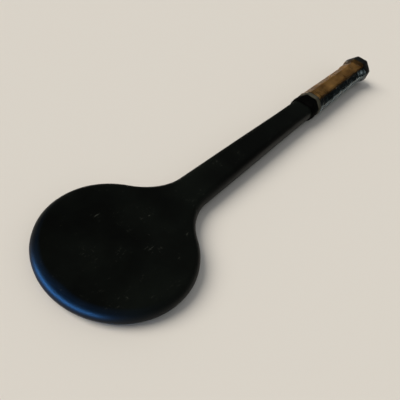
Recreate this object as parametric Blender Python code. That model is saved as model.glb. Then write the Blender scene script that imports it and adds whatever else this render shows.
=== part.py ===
"""Tennis training racket with a small round head, lying at rest on its head and its butt.

Metres, +Z up. The pieces are drawn along the racket's own axis, with the head's centre at
x = 0, the butt towards +X and the striking faces square to Z, then an empty lays the whole
racket down so that the head's rim and the butt cap both touch z = 0.
"""
import math

import bmesh
import bpy
import numpy as np

GAP = 0.0003                    # between pieces that are glued, pressed or screwed together

HEAD_RADIUS = 0.060
HEAD_THICKNESS = 0.014
EDGE_DEPTH = 0.007              # how far the soft edge reaches in from the outline
THROAT_RADIUS = 0.054           # concave curve from the head into the shaft
THROAT_OVER_SHAFT = 0.0042      # how much wider the shaft is where the throat ends
SHAFT_OVER_HANDLE = 0.0012      # how much wider the shaft is than the bare handle
SHAFT_THICKNESS = 0.018
SHAFT_PARALLEL_LENGTH = 0.045   # straight stretch in front of the shoulder, where the collar slides
THICKENING_LENGTH = 0.130       # along which the blade grows from head to shaft thickness
SHOULDER_X = 0.312              # end of the shaft, where the tang and the cheeks start

TANG_THICKNESS = 0.012
TANG_SEAT = 0.010               # how deep the tang runs on inside the shaft
HANDLE_WIDTH = 0.0270
HANDLE_THICKNESS = 0.0235
HANDLE_CHAMFER = 0.0080         # leg of the octagon's bevels
HANDLE_CORNER = 0.0015
HANDLE_LENGTH = 0.202
CHEEK_RAMP = 0.010              # length along which the cheeks rise from the shaft's faces
DOWEL_RADIUS = 0.003
DOWEL_SINK = 0.0004
FIRST_DOWEL_SHARE = 0.35        # of the way from the shoulder to the butt cap's skirt
SECOND_DOWEL_SHARE = 0.90

CAP_LENGTH = 0.046              # the flared part, behind the grip
CAP_SKIRT_LENGTH = 0.026
CAP_SKIRT_WALL = 0.0010
CAP_END_THICKNESS = 0.0097      # from the handle's end to the outer face
CAP_FLARE_WIDTH = 0.0382
CAP_FLARE_THICKNESS = 0.0350
CAP_FLARE_LENGTH = 0.030        # from the grip to the widest place
CAP_FLARE_CHAMFER = 0.0115
CAP_CORNER = 0.0030
CAP_EDGE_LENGTH = 0.012         # the end's rounding, along the axis
CAP_EDGE_INSET = 0.0070         # and across it

DOOR_WIDTH = 0.0190
DOOR_THICKNESS = 0.0020
DOOR_CHAMFER = 0.0052
DOOR_LEG_SPAN = 0.0060
DOOR_LEG_THICKNESS = 0.0016
DOOR_LEG_LENGTH = 0.0045
DOOR_LEG_SPACING = 0.0120
PRY_NOTCH_WIDTH = 0.0050
PRY_NOTCH_DEPTH = 0.0012
PRY_NOTCH_REACH = 0.0016

SCREW_SPACING = 0.0120
SCREW_SHANK_RADIUS = 0.0015
SCREW_POINT_RADIUS = 0.0005
SCREW_POINT_LENGTH = 0.0030
SCREW_LENGTH = 0.0180
SCREW_HEAD_RADIUS = 0.0029
SCREW_HEAD_HEIGHT = 0.0018
SCREW_RIM_HEIGHT = 0.0011       # where the pan head's side turns over into its top
SCREW_RIM_RADIUS = 0.0027
SCREW_TOP_RADIUS = 0.0016

GRIP_THICKNESS = 0.0013
GRIP_PITCH = 0.022
GRIP_SEAM = 0.0005              # open seam between one turn and the next
GRIP_EDGE = 0.0004              # bevel along both edges of the strip
GRIP_TIP = 0.003                # width of the strip's cut ends
TACK_HEAD_RADIUS = 0.0030
TACK_HEAD_HEIGHT = 0.0005
TACK_SHANK_RADIUS = 0.0008
TACK_POINT_RADIUS = 0.0002
TACK_POINT_LENGTH = 0.0016
TACK_LENGTH = 0.0090
TACK_FLOOR = 0.0003             # grip left under the tack's head
TACK_FROM_CAP = 0.007
TAPE_THICKNESS = 0.0002
TAPE_ON_GRIP = 0.0075
TAPE_ON_HANDLE = 0.006
TAPE_STEP = 0.0010

COLLAR_LENGTH = 0.020
COLLAR_ON_SHAFT = 0.003         # how far it covers the shaft in front of the shoulder
COLLAR_WALL = 0.0012            # at its fullest, over the top of the handle
COLLAR_LIP = 0.0004             # its wall at both lips
COLLAR_FULLEST = 0.010          # from its front lip to where it is fullest
COLLAR_CORNER = 0.0040
COLLAR_REAR_CHAMFER = 0.0080

FILM_THICKNESS = 0.0003
FILM_BULGE = 0.0012             # loose film standing off where the butt cap flares
FILM_BULGE_LENGTH = 0.022
FILM_ON_CAP = 0.021             # short of where the racket rests
FILM_STATIONS = 16

HEAD_STEPS = 56
THROAT_STEPS = 10
SHAFT_STEPS = 6
EDGE_STEPS = 8
ARC_POINTS = 3                  # points of one rounded corner of an octagon
TURN_POINTS = 8 * ARC_POINTS
ROUND_SIDES = 24                # of dowels, screws and their holes
TACK_SIDES = 16
GAP_SAMPLES = 4                 # points to a stretch where the grip's gap to itself is measured
COLLAR_STATIONS = 12
CAP_STATIONS = 8
CAP_EDGE_STEPS = 5
FULL_TURN = 2 * math.pi

shaft_width = HANDLE_WIDTH + SHAFT_OVER_HANDLE
handle_end_x = SHOULDER_X + HANDLE_LENGTH
butt_x = handle_end_x + CAP_END_THICKNESS
cap_front_x = butt_x - CAP_LENGTH
cap_widest_x = cap_front_x + CAP_FLARE_LENGTH
skirt_front_x = cap_front_x - CAP_SKIRT_LENGTH
collar_front_x = SHOULDER_X - COLLAR_ON_SHAFT
collar_rear_x = collar_front_x + COLLAR_LENGTH
grip_inner = GAP
grip_outer = GAP + GRIP_THICKNESS
grip_top_x = collar_rear_x + 2 * GAP + TAPE_STEP
grip_butt_x = cap_front_x - GAP
tape_front_x = grip_top_x - TAPE_ON_HANDLE
tape_rear_x = grip_top_x + TAPE_ON_GRIP
cheek_front_x = SHOULDER_X + GAP


def clear_scene():
    for thing in list(bpy.data.objects):
        bpy.data.objects.remove(thing, do_unlink=True)


def material(name, color, roughness, metallic=0.0, alpha=1.0):
    made = bpy.data.materials.new(name)
    made.use_nodes = True
    shader = made.node_tree.nodes["Principled BSDF"]
    shader.inputs["Base Color"].default_value = (*color, 1.0)
    shader.inputs["Roughness"].default_value = roughness
    shader.inputs["Metallic"].default_value = metallic
    shader.inputs["Alpha"].default_value = alpha
    return made


def piece(name, points, faces, finish, parent, smooth_angle=35):
    """An object from points and faces, its normals turned outwards."""
    mesh = bpy.data.meshes.new(name)
    mesh.from_pydata([tuple(map(float, point)) for point in points], [], faces)
    made = bmesh.new()
    made.from_mesh(mesh)
    bmesh.ops.recalc_face_normals(made, faces=made.faces)
    made.to_mesh(mesh)
    made.free()
    mesh.shade_smooth()
    mesh.set_sharp_from_angle(angle=math.radians(smooth_angle))
    if finish:
        mesh.materials.append(finish)
    thing = bpy.data.objects.new(name, mesh)
    bpy.context.scene.collection.objects.link(thing)
    thing.parent = parent
    return thing


def helper(thing):
    thing.hide_render = True
    thing.display_type = "WIRE"
    return thing


def boolean(thing, operation, other):
    step = thing.modifiers.new(f"{operation} {other.name}".lower(), "BOOLEAN")
    step.operation = operation
    step.object = other
    step.solver = "EXACT"


def section(width, thickness, chamfer, corner, grow=0.0):
    """A rounded octagon across the axis as (y, z) points, and its surface moved out by grow."""
    side = width / 2 - corner
    top = thickness / 2 - corner
    draw_in = chamfer + corner * (math.sqrt(2) - 1)
    low_corner = (side, thickness / 2 - draw_in)
    high_corner = (width / 2 - draw_in, top)
    points = []
    for quarter in range(4):
        corners = (low_corner, high_corner) if quarter % 2 == 0 else (high_corner, low_corner)
        for half, centre in enumerate(corners):
            for step in range(ARC_POINTS):
                angle = math.radians(90 * quarter + 45 * half + 45 * step / (ARC_POINTS - 1))
                y_side = 1 if quarter in (0, 3) else -1
                z_side = 1 if quarter in (0, 1) else -1
                points.append((y_side * centre[0] + (corner + grow) * math.cos(angle),
                               z_side * centre[1] + (corner + grow) * math.sin(angle)))
    return points


def handle_section(grow, rise=1.0):
    """The bare handle's octagon moved out by grow; rise is 0 at the shaft's faces and 1 full."""
    thickness = SHAFT_THICKNESS + (HANDLE_THICKNESS - SHAFT_THICKNESS) * rise
    chamfer = HANDLE_CHAMFER * thickness / HANDLE_THICKNESS
    return section(HANDLE_WIDTH, thickness, chamfer, HANDLE_CORNER, grow)


def skin(total, count, ring=False):
    """Faces over loops of count points, joined in turn: capped at both ends, or closed into a ring."""
    starts = list(range(0, total, count))
    faces = [] if ring else [tuple(range(count)), tuple(range(total - count, total))]
    for this, following in zip(starts, starts[1:] + starts[:1] if ring else starts[1:]):
        for j in range(count):
            k = (j + 1) % count
            faces.append((this + j, this + k, following + k, following + j))
    return faces


def loft(name, stations, finish, parent, ring=False, smooth_angle=35):
    """A piece through loops given as (x, points)."""
    points = [(x, y, z) for x, loop in stations for y, z in loop]
    faces = skin(len(points), len(stations[0][1]), ring)
    return piece(name, points, faces, finish, parent, smooth_angle)


def box(name, low, high, parent):
    points = [(x, y, z) for x in (low[0], high[0]) for y in (low[1], high[1]) for z in (low[2], high[2])]
    faces = [(0, 1, 3, 2), (4, 6, 7, 5), (0, 4, 5, 1), (2, 3, 7, 6), (0, 2, 6, 4), (1, 5, 7, 3)]
    return piece(name, points, faces, None, parent)


def turned(name, axis, centre, profile, finish, parent, sides=ROUND_SIDES):
    """A round piece about an axis: profile is (distance along the axis, radius) pairs."""
    first = "XYZ".index(axis)
    second, third = (first + 1) % 3, (first + 2) % 3
    points = []
    for along, radius in profile:
        for side in range(sides):
            point = list(centre)
            point[first] += along
            point[second] += radius * math.cos(FULL_TURN * side / sides)
            point[third] += radius * math.sin(FULL_TURN * side / sides)
            points.append(point)
    return piece(name, points, skin(len(points), sides), finish, parent)


def smooth_step(value):
    value = min(max(value, 0.0), 1.0)
    return value * value * (3 - 2 * value)


def blade_outline():
    """Half of the outline from the head's tip to the shoulder: rows of x, y and the outward normal."""
    half_throat = (shaft_width + THROAT_OVER_SHAFT) / 2
    throat_y = half_throat + THROAT_RADIUS
    throat_x = math.sqrt((HEAD_RADIUS + THROAT_RADIUS) ** 2 - throat_y ** 2)
    meet = math.atan2(throat_y, throat_x)
    rows = []
    for angle in np.linspace(math.pi, meet, HEAD_STEPS + 1):
        normal = (math.cos(angle), math.sin(angle))
        rows.append((HEAD_RADIUS * normal[0], HEAD_RADIUS * normal[1], *normal))
    for angle in np.linspace(meet + math.pi, 1.5 * math.pi, THROAT_STEPS + 1)[1:]:
        inward = (math.cos(angle), math.sin(angle))
        rows.append((throat_x + THROAT_RADIUS * inward[0], throat_y + THROAT_RADIUS * inward[1],
                     -inward[0], -inward[1]))
    parallel_x = SHOULDER_X - SHAFT_PARALLEL_LENGTH
    for share in np.linspace(0, 1, SHAFT_STEPS + 1)[1:]:
        rows.append((throat_x + (parallel_x - throat_x) * share,
                     half_throat + (shaft_width / 2 - half_throat) * share, 0.0, 1.0))
    rows.append((SHOULDER_X, shaft_width / 2, 0.0, 1.0))
    return rows


def half_thickness(x):
    grown = smooth_step((x - HEAD_RADIUS) / THICKENING_LENGTH)
    return (HEAD_THICKNESS + (SHAFT_THICKNESS - HEAD_THICKNESS) * grown) / 2


def make_blade(finish, parent):
    """Head, throat and shaft as one rounded plate, joined to the tang inside the handle."""
    rows = blade_outline()
    sides = [(x, -y, nx, -ny) for x, y, nx, ny in reversed(rows[1:])] + rows
    across = len(sides)
    points = []
    for level in range(EDGE_STEPS + 1):
        angle = math.pi * (level / EDGE_STEPS - 0.5)
        inset = EDGE_DEPTH * (1 - math.cos(angle))
        for x, y, nx, ny in sides:
            points.append((x - nx * inset, y - ny * inset, half_thickness(x) * math.sin(angle)))
    faces = []
    for level in range(EDGE_STEPS):
        for i in range(across - 1):
            at = level * across + i
            faces.append((at, at + 1, at + across + 1, at + across))
    for base in (0, EDGE_STEPS * across):
        tip = base + len(rows) - 1
        faces.append((tip, tip + 1, tip - 1))
        for i in range(1, len(rows) - 1):
            faces.append((tip + i, tip + i + 1, tip - i - 1, tip - i))
    levels = range(EDGE_STEPS + 1)
    faces.append(tuple(level * across for level in levels)
                 + tuple(level * across + across - 1 for level in reversed(levels)))
    blade = piece("blade", points, faces, finish, parent)
    tang = make_handle_core("tang_core", SHOULDER_X - TANG_SEAT, None, parent)
    slab = helper(box("tang_slab", (0, -HANDLE_WIDTH, -TANG_THICKNESS / 2),
                      (butt_x, HANDLE_WIDTH, TANG_THICKNESS / 2), parent))
    boolean(helper(tang), "INTERSECT", slab)
    boolean(blade, "UNION", tang)
    return blade


def make_handle_core(name, front_x, finish, parent):
    """The octagon that tang and cheeks share, rebated at its end for the butt cap's skirt."""
    ramp_x = SHOULDER_X + CHEEK_RAMP
    rebate_x = skirt_front_x - GAP
    rebate = -(CAP_SKIRT_WALL + GAP)
    stations = [(front_x, handle_section(0.0, 0.0)), (ramp_x, handle_section(0.0)),
                (rebate_x, handle_section(0.0)), (rebate_x, handle_section(rebate)),
                (handle_end_x, handle_section(rebate))]
    return loft(name, stations, finish, parent)


def make_cheek(name, side, finish, parent):
    """One of the two cheeks glued to the tang's faces."""
    cheek = make_handle_core(name, cheek_front_x, finish, parent)
    near = TANG_THICKNESS / 2 + GAP
    far = HANDLE_THICKNESS
    low, high = (near, far) if side > 0 else (-far, -near)
    boolean(cheek, "INTERSECT",
            helper(box(f"{name}_space", (0, -HANDLE_WIDTH, low), (butt_x, HANDLE_WIDTH, high), parent)))
    return cheek


def make_dowels(drilled, finish, parent):
    """Two dowels that hold the cheeks square to the tang, and their holes."""
    reach = HANDLE_THICKNESS / 2 - DOWEL_SINK
    through = HANDLE_THICKNESS
    hole_radius = DOWEL_RADIUS + GAP
    for number, share in enumerate((FIRST_DOWEL_SHARE, SECOND_DOWEL_SHARE), 1):
        centre = (SHOULDER_X + share * (skirt_front_x - SHOULDER_X), 0, 0)
        profile = [(-reach, DOWEL_RADIUS), (reach, DOWEL_RADIUS)]
        turned(f"dowel_{number}", "Z", centre, profile, finish, parent)
        profile = [(-through, hole_radius), (through, hole_radius)]
        hole = helper(turned(f"dowel_hole_{number}", "Z", centre, profile, None, parent))
        for thing in drilled:
            boolean(thing, "DIFFERENCE", hole)


def outside_section(x, grow=0.0):
    """Outside of grip and butt cap at x: straight, then flared, then rounded over at the end."""
    share = smooth_step((x - cap_front_x) / CAP_FLARE_LENGTH)
    over = min(max((x - butt_x) / CAP_EDGE_LENGTH + 1, 0.0), 1.0)
    inset = CAP_EDGE_INSET * (1 - math.sqrt(1 - over * over))
    bevel_per_inset = 2 - math.sqrt(2)
    straight = (HANDLE_WIDTH + 2 * grip_outer, HANDLE_THICKNESS + 2 * grip_outer,
                HANDLE_CHAMFER + bevel_per_inset * grip_outer, HANDLE_CORNER + grip_outer)
    flared = (CAP_FLARE_WIDTH, CAP_FLARE_THICKNESS, CAP_FLARE_CHAMFER, CAP_CORNER)
    width, thickness, chamfer, corner = (a + (b - a) * share for a, b in zip(straight, flared))
    return section(width - 2 * inset, thickness - 2 * inset, chamfer - bevel_per_inset * inset,
                   corner, grow)


def cut_loft(thing, name, low_x, high_x, loop, parent):
    """Cuts a straight hole of the loop's shape out of a piece, from low_x to high_x."""
    boolean(thing, "DIFFERENCE", helper(loft(name, [(low_x, loop), (high_x, loop)], None, parent)))


def make_butt_cap(finish, parent):
    """A cup over the handle's end: thin skirt under the grip, flared end with the door's recess."""
    edge_start = butt_x - CAP_EDGE_LENGTH
    outside = [(skirt_front_x, handle_section(0.0)), (cap_front_x, handle_section(0.0))]
    places = list(np.linspace(cap_front_x, cap_widest_x, CAP_STATIONS))
    places += [edge_start + CAP_EDGE_LENGTH * math.sin(math.pi / 2 * step / CAP_EDGE_STEPS)
               for step in range(CAP_EDGE_STEPS + 1)]
    outside += [(x, outside_section(x)) for x in places]
    cap = loft("butt_cap", outside, finish, parent)
    bore = handle_section(-CAP_SKIRT_WALL)
    cut_loft(cap, "cap_bore", skirt_front_x - CAP_SKIRT_LENGTH, handle_end_x + GAP, bore, parent)
    recess = section(DOOR_WIDTH, DOOR_WIDTH, DOOR_CHAMFER, HANDLE_CORNER, GAP)
    beyond_x = butt_x + DOOR_THICKNESS
    cut_loft(cap, "door_recess", butt_x - DOOR_THICKNESS - GAP, beyond_x, recess, parent)
    notch = box("pry_notch", (butt_x - PRY_NOTCH_DEPTH, -PRY_NOTCH_WIDTH / 2, 0),
                (beyond_x, PRY_NOTCH_WIDTH / 2, DOOR_WIDTH / 2 + PRY_NOTCH_REACH), parent)
    boolean(cap, "DIFFERENCE", helper(notch))
    return cap


def make_door(cap, finish, parent):
    """The plug-in end cover: a plate with two plain legs in slots of the butt cap."""
    loop = section(DOOR_WIDTH, DOOR_WIDTH, DOOR_CHAMFER, HANDLE_CORNER)
    plate_x = butt_x - DOOR_THICKNESS
    door = loft("butt_door", [(plate_x, loop), (butt_x, loop)], finish, parent)
    for side in (1, -1):
        name = "upper" if side > 0 else "lower"
        middle = side * DOOR_LEG_SPACING / 2
        leg = [(plate_x - DOOR_LEG_LENGTH, -DOOR_LEG_SPAN / 2, middle - DOOR_LEG_THICKNESS / 2),
               (plate_x + DOOR_THICKNESS / 2, DOOR_LEG_SPAN / 2, middle + DOOR_LEG_THICKNESS / 2)]
        slot = [(leg[0][0] - GAP, leg[0][1] - GAP, leg[0][2] - GAP),
                (butt_x, leg[1][1] + GAP, leg[1][2] + GAP)]
        boolean(door, "UNION", helper(box(f"door_leg_{name}", *leg, parent)))
        boolean(cap, "DIFFERENCE", helper(box(f"door_slot_{name}", *slot, parent)))
    return door


def make_screws(cap, blade, finish, parent):
    """Two pan-head screws through the butt cap into the tang, under the door."""
    under_head_x = butt_x - DOOR_THICKNESS - 2 * GAP - SCREW_HEAD_HEIGHT
    profile = [(-SCREW_LENGTH, SCREW_POINT_RADIUS), (SCREW_POINT_LENGTH - SCREW_LENGTH, SCREW_SHANK_RADIUS),
               (0, SCREW_SHANK_RADIUS), (0, SCREW_HEAD_RADIUS), (SCREW_RIM_HEIGHT, SCREW_RIM_RADIUS),
               (SCREW_HEAD_HEIGHT, SCREW_TOP_RADIUS)]
    hole = [(-SCREW_LENGTH - GAP, SCREW_SHANK_RADIUS + GAP), (-GAP, SCREW_SHANK_RADIUS + GAP),
            (-GAP, SCREW_HEAD_RADIUS + GAP), (SCREW_HEAD_HEIGHT + 2 * GAP, SCREW_HEAD_RADIUS + GAP)]
    for side, name in ((1, "left"), (-1, "right")):
        centre = (under_head_x, side * SCREW_SPACING / 2, 0)
        turned(f"butt_screw_{name}", "X", centre, profile, finish, parent)
        cutter = helper(turned(f"screw_hole_{name}", "X", centre, hole, None, parent))
        boolean(cap, "DIFFERENCE", cutter)
        boolean(blade, "DIFFERENCE", cutter)


def turn_shares():
    """How much of one turn lies before each point of the handle's octagon, measured along it."""
    loop = np.array(handle_section(grip_outer))
    steps = np.linalg.norm(np.roll(loop, -1, axis=0) - loop, axis=1)
    return np.concatenate([[0.0], np.cumsum(steps)[:-1]]) / steps.sum()


def make_grip(finish, parent):
    """One strip wound up the handle from the butt cap, its turns edge to edge round the octagon."""
    length = grip_butt_x - grip_top_x
    start = (GRIP_TIP + GRIP_SEAM) / GRIP_PITCH
    end = (length - GRIP_TIP) / GRIP_PITCH + 1
    shares = turn_shares()
    turns = [(whole + share, place) for whole in range(math.ceil(end))
             for place, share in enumerate(shares) if start <= whole + share <= end]
    shoulder = grip_outer - GRIP_EDGE
    loops = {grow: handle_section(grow) for grow in (grip_inner, shoulder, grip_outer)}
    points = []
    for turn, place in turns:
        low = max(0.0, GRIP_PITCH * (turn - 1))
        high = min(length, GRIP_PITCH * turn - GRIP_SEAM)
        for along, grow in ((low, grip_inner), (low, shoulder), (low + GRIP_EDGE, grip_outer),
                            (high - GRIP_EDGE, grip_outer), (high, shoulder), (high, grip_inner)):
            points.append((grip_butt_x - along, *loops[grow][place]))
    around = len(points) // len(turns)
    report_grip_gap(np.array(points).reshape(-1, around, 3), turns[-1][0] - turns[0][0])
    return piece("grip_wrap", points, skin(len(points), around), finish, parent)


def between_points(edge):
    """Points along an edge, GAP_SAMPLES to each of its stretches."""
    share = np.linspace(0, 1, GAP_SAMPLES, endpoint=False)[:, None, None]
    return (edge[:-1] * (1 - share) + edge[1:] * share).swapaxes(0, 1).reshape(-1, 3)


def report_grip_gap(rings, turns):
    """Prints the least distance from one edge of the strip to the other, half a turn or more on."""
    one, other = between_points(rings[:, -1]), between_points(rings[:, 0])
    number = np.arange(len(one))
    apart = np.linalg.norm(one[:, None] - other[None], axis=2)
    half_turn = GAP_SAMPLES * TURN_POINTS / 2
    apart[np.abs(number[:, None] - number[None]) < half_turn] = np.inf
    print(f"grip_wrap: {turns:.1f} turns, least gap to itself {apart.min() * 1000:.3f} mm")


def make_tack(pierced, finish, parent):
    """A flat-headed tack through the strip's first turn and the cap's skirt into the tang's side."""
    under_head_y = HANDLE_WIDTH / 2 + grip_inner + TACK_FLOOR + GAP
    centre = (grip_butt_x - TACK_FROM_CAP, under_head_y, 0)
    profile = [(-TACK_LENGTH, TACK_POINT_RADIUS), (TACK_POINT_LENGTH - TACK_LENGTH, TACK_SHANK_RADIUS),
               (0, TACK_SHANK_RADIUS), (0, TACK_HEAD_RADIUS), (TACK_HEAD_HEIGHT, TACK_HEAD_RADIUS)]
    turned("grip_tack", "Y", centre, profile, finish, parent, TACK_SIDES)
    bore = TACK_SHANK_RADIUS + GAP
    pocket = TACK_HEAD_RADIUS + GAP
    profile = [(-TACK_LENGTH - GAP, bore), (-GAP, bore), (-GAP, pocket), (GRIP_THICKNESS, pocket)]
    hole = helper(turned("tack_hole", "Y", centre, profile, None, parent, TACK_SIDES))
    for thing in pierced:
        boolean(thing, "DIFFERENCE", hole)


def make_tape(finish, parent):
    """Finishing tape over the end of the grip, stepped down on to the bare handle."""
    profile = [(tape_front_x, GAP), (grip_top_x - GAP - TAPE_STEP, GAP),
               (grip_top_x - GAP - TAPE_THICKNESS, grip_outer + GAP), (tape_rear_x, grip_outer + GAP)]
    outer = [(x, handle_section(grow + TAPE_THICKNESS)) for x, grow in profile]
    inner = [(x, handle_section(grow)) for x, grow in reversed(profile)]
    return loft("finishing_tape", outer + inner, finish, parent, ring=True)


def collar_bore(x):
    """Width, thickness and bevel of the collar's bore, all of which slides along over the shaft."""
    edge = shaft_width / 2 - EDGE_DEPTH
    shaft_reach = (edge + math.hypot(EDGE_DEPTH, SHAFT_THICKNESS / 2)) * math.sqrt(0.5)
    width = shaft_width + 2 * GAP
    front = SHAFT_THICKNESS + 2 * GAP
    front_chamfer = (width + front) / 2 - (shaft_reach + GAP) * math.sqrt(2)
    rear = HANDLE_THICKNESS + 4 * GAP + 2 * TAPE_THICKNESS
    share = min(max((x - SHOULDER_X) / CHEEK_RAMP, 0.0), 1.0)
    thickness = front + (rear - front) * share
    return width, thickness, front_chamfer + (COLLAR_REAR_CHAMFER - front_chamfer) * share


def make_collar(finish, parent):
    """A thin rubber sleeve: snug on the shaft, swelling over the top of the handle."""
    outer, inner = [], []
    for x in np.linspace(collar_front_x, collar_rear_x, COLLAR_STATIONS):
        width, thickness, chamfer = collar_bore(x)
        beyond = x - collar_front_x - COLLAR_FULLEST
        reach = COLLAR_FULLEST if beyond < 0 else COLLAR_LENGTH - COLLAR_FULLEST
        wall = COLLAR_LIP + (COLLAR_WALL - COLLAR_LIP) * smooth_step(1 - abs(beyond) / reach)
        outer.append((x, section(width, thickness, chamfer, COLLAR_CORNER, wall)))
        inner.insert(0, (x, section(width, thickness, chamfer, COLLAR_CORNER)))
    return loft("rubber_collar", outer + inner, finish, parent, ring=True, smooth_angle=60)


def make_film(finish, parent):
    """Thin film over the grip and the butt cap's flare, loose where they meet."""
    straight_end = cap_front_x - FILM_BULGE_LENGTH / 2
    places = [tape_rear_x + GAP]
    places += list(np.linspace(straight_end, cap_front_x + FILM_ON_CAP, FILM_STATIONS))
    outer, inner = [], []
    for x in places:
        loose = 1 - abs(x - cap_front_x) / (FILM_BULGE_LENGTH / 2)
        grow = GAP + FILM_BULGE * smooth_step(loose)
        outer.append((x, outside_section(x, grow + FILM_THICKNESS)))
        inner.insert(0, (x, outside_section(x, grow)))
    return loft("film_sleeve", outer + inner, finish, parent, ring=True, smooth_angle=60)


def lay_down(racket):
    """Tilts the racket so that head and butt cap touch z = 0, centred on the origin."""
    head_x = EDGE_DEPTH - HEAD_RADIUS
    half_head = HEAD_THICKNESS / 2
    tilt = math.atan2(CAP_FLARE_THICKNESS / 2 - half_head, cap_widest_x - head_x)
    height = half_head * math.cos(tilt) - head_x * math.sin(tilt)
    tip_x = -HEAD_RADIUS * math.cos(tilt)
    half_end = CAP_FLARE_THICKNESS / 2 - CAP_EDGE_INSET
    end_x = butt_x * math.cos(tilt) + half_end * math.sin(tilt)
    racket.rotation_euler = (0, -tilt, 0)
    racket.location = (-(end_x + tip_x) / 2, 0, height)


def build():
    clear_scene()
    racket = bpy.data.objects.new("racket", None)
    bpy.context.scene.collection.objects.link(racket)
    lacquer = material("black lacquered beech", (0.012, 0.013, 0.015), 0.42)
    beech = material("bare beech", (0.52, 0.34, 0.19), 0.6)
    dowel_wood = material("birch dowel", (0.62, 0.46, 0.28), 0.6)
    nylon = material("black moulded nylon", (0.012, 0.012, 0.013), 0.35)
    door_nylon = material("black moulded nylon door", (0.015, 0.015, 0.016), 0.4)
    steel = material("zinc plated steel", (0.62, 0.63, 0.65), 0.3, 1.0)
    tack_steel = material("blued steel", (0.12, 0.13, 0.16), 0.35, 1.0)
    strip = material("black polyurethane grip", (0.014, 0.014, 0.015), 0.55)
    tape = material("grey finishing tape", (0.10, 0.10, 0.10), 0.35)
    rubber = material("black rubber", (0.010, 0.010, 0.010), 0.7)
    film = material("yellowed polyethylene film", (0.74, 0.58, 0.40), 0.12, alpha=0.3)

    blade = make_blade(lacquer, racket)
    upper = make_cheek("handle_cheek_upper", 1, beech, racket)
    lower = make_cheek("handle_cheek_lower", -1, beech, racket)
    make_dowels((blade, upper, lower), dowel_wood, racket)
    cap = make_butt_cap(nylon, racket)
    make_door(cap, door_nylon, racket)
    make_screws(cap, blade, steel, racket)
    grip = make_grip(strip, racket)
    make_tack((blade, cap, grip), tack_steel, racket)
    make_tape(tape, racket)
    make_collar(rubber, racket)
    make_film(film, racket)
    lay_down(racket)


build()
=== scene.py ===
import math

import bpy
import numpy as np
from mathutils import Matrix


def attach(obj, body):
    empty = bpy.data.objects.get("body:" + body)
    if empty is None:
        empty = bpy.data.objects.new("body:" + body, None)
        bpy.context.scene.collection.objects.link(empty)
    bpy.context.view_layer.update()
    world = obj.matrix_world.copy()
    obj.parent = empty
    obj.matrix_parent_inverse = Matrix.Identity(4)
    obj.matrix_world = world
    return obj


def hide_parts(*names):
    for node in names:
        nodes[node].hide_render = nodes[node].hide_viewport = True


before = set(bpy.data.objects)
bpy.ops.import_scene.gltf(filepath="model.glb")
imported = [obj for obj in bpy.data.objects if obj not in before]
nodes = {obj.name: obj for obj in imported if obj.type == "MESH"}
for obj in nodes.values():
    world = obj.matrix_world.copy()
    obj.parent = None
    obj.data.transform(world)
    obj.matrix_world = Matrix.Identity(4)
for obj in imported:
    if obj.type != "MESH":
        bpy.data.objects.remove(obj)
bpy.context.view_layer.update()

millimetre = 0.001
fullTurn = 2 * math.pi
print("frame loaded,", len(nodes), "nodes")

# The racket is drawn along its own axis, head centre at x = 0, and then laid down as the frame has it.
lay = {
    "tiltDegrees": 1.07283,
    "headCentre": (-0.231908, 0.0, 0.007991),
}

# The bare handle, and where the butt cap and its flare begin, along the racket's own axis.
handle = {
    "wood": {"width": 0.0270, "thickness": 0.0235, "chamfer": 0.0080, "corner": 0.0015},
    "capFrontX": 0.4777,
}


def linearColor(hexCode):
    # sRGB to linear: c / 12.92 below 0.04045, else ((c + 0.055) / 1.055) to the power 2.4
    channels = [int(hexCode[i:i + 2], 16) / 255 for i in (1, 3, 5)]
    return (*[c / 12.92 if c <= 0.04045 else ((c + 0.055) / 1.055) ** 2.4 for c in channels], 1.0)


def addNode(tree, kind, output, inputs={}, **settings):
    # gives back one output, by its name or number; an input is a plain value or the output that feeds it
    node = tree.nodes.new("ShaderNode" + kind)
    for name, value in settings.items():
        setattr(node, name, value)
    for name, value in inputs.items():
        if isinstance(value, bpy.types.NodeSocket):
            tree.links.new(value, node.inputs[name])
        else:
            node.inputs[name].default_value = value
    return node.outputs[output]


def startMaterial(name, roughness=0.5, ior=1.5, metallic=0.0, specular=0.5):
    made = bpy.data.materials.new(name)
    made.use_nodes = True
    tree = made.node_tree
    shader = tree.nodes["Principled BSDF"]
    plain = {"Roughness": roughness, "IOR": ior, "Metallic": metallic, "Specular IOR Level": specular}
    for socket, value in plain.items():
        shader.inputs[socket].default_value = value
    place = addNode(tree, "TexCoord", "Object")
    return made, tree, shader, place


def speckle(tree, place, sizeMm, detail, stretch=(1, 1, 1), between=(), shares=(0.0, 1.0)):
    # noise with features about sizeMm across, and stretch times as long along x, y and z; where two
    # levels of it are given, it runs from the first share to the second between them
    scale = [1000 / (sizeMm * s) for s in stretch]
    squeezed = addNode(tree, "Mapping", "Vector", {"Vector": place, "Scale": scale})
    value = addNode(tree, "TexNoise", "Fac", {"Vector": squeezed, "Scale": 1.0, "Detail": detail})
    if between:
        value = addNode(tree, "MapRange", "Result", {
            "Value": value, "From Min": between[0], "From Max": between[1],
            "To Min": shares[0], "To Max": shares[1]})
    return value


def layered(tree, color, *covers):
    # each cover hides the colour under it by its share; a colour is a hex code or an output, and
    # sockets 0, 6 and 7 of a colour mix are its share and its two colours
    for share, cover in covers:
        under, over = [linearColor(c) if isinstance(c, str) else c for c in (color, cover)]
        color = addNode(tree, "Mix", 2, {0: share, 6: under, 7: over}, data_type="RGBA")
    return color


def finishShader(tree, shader, outputs, reliefs=()):
    # a relief is a height pattern and its depth in millimetres, and each lies over the one before it
    normal = {}
    for height, depthMm in reliefs:
        inputs = {"Height": height, "Distance": depthMm * millimetre, "Strength": 1.0, **normal}
        normal = {"Normal": addNode(tree, "Bump", "Normal", inputs)}
    for socket, output in {**outputs, **normal}.items():
        tree.links.new(output, shader.inputs[socket])


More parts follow.
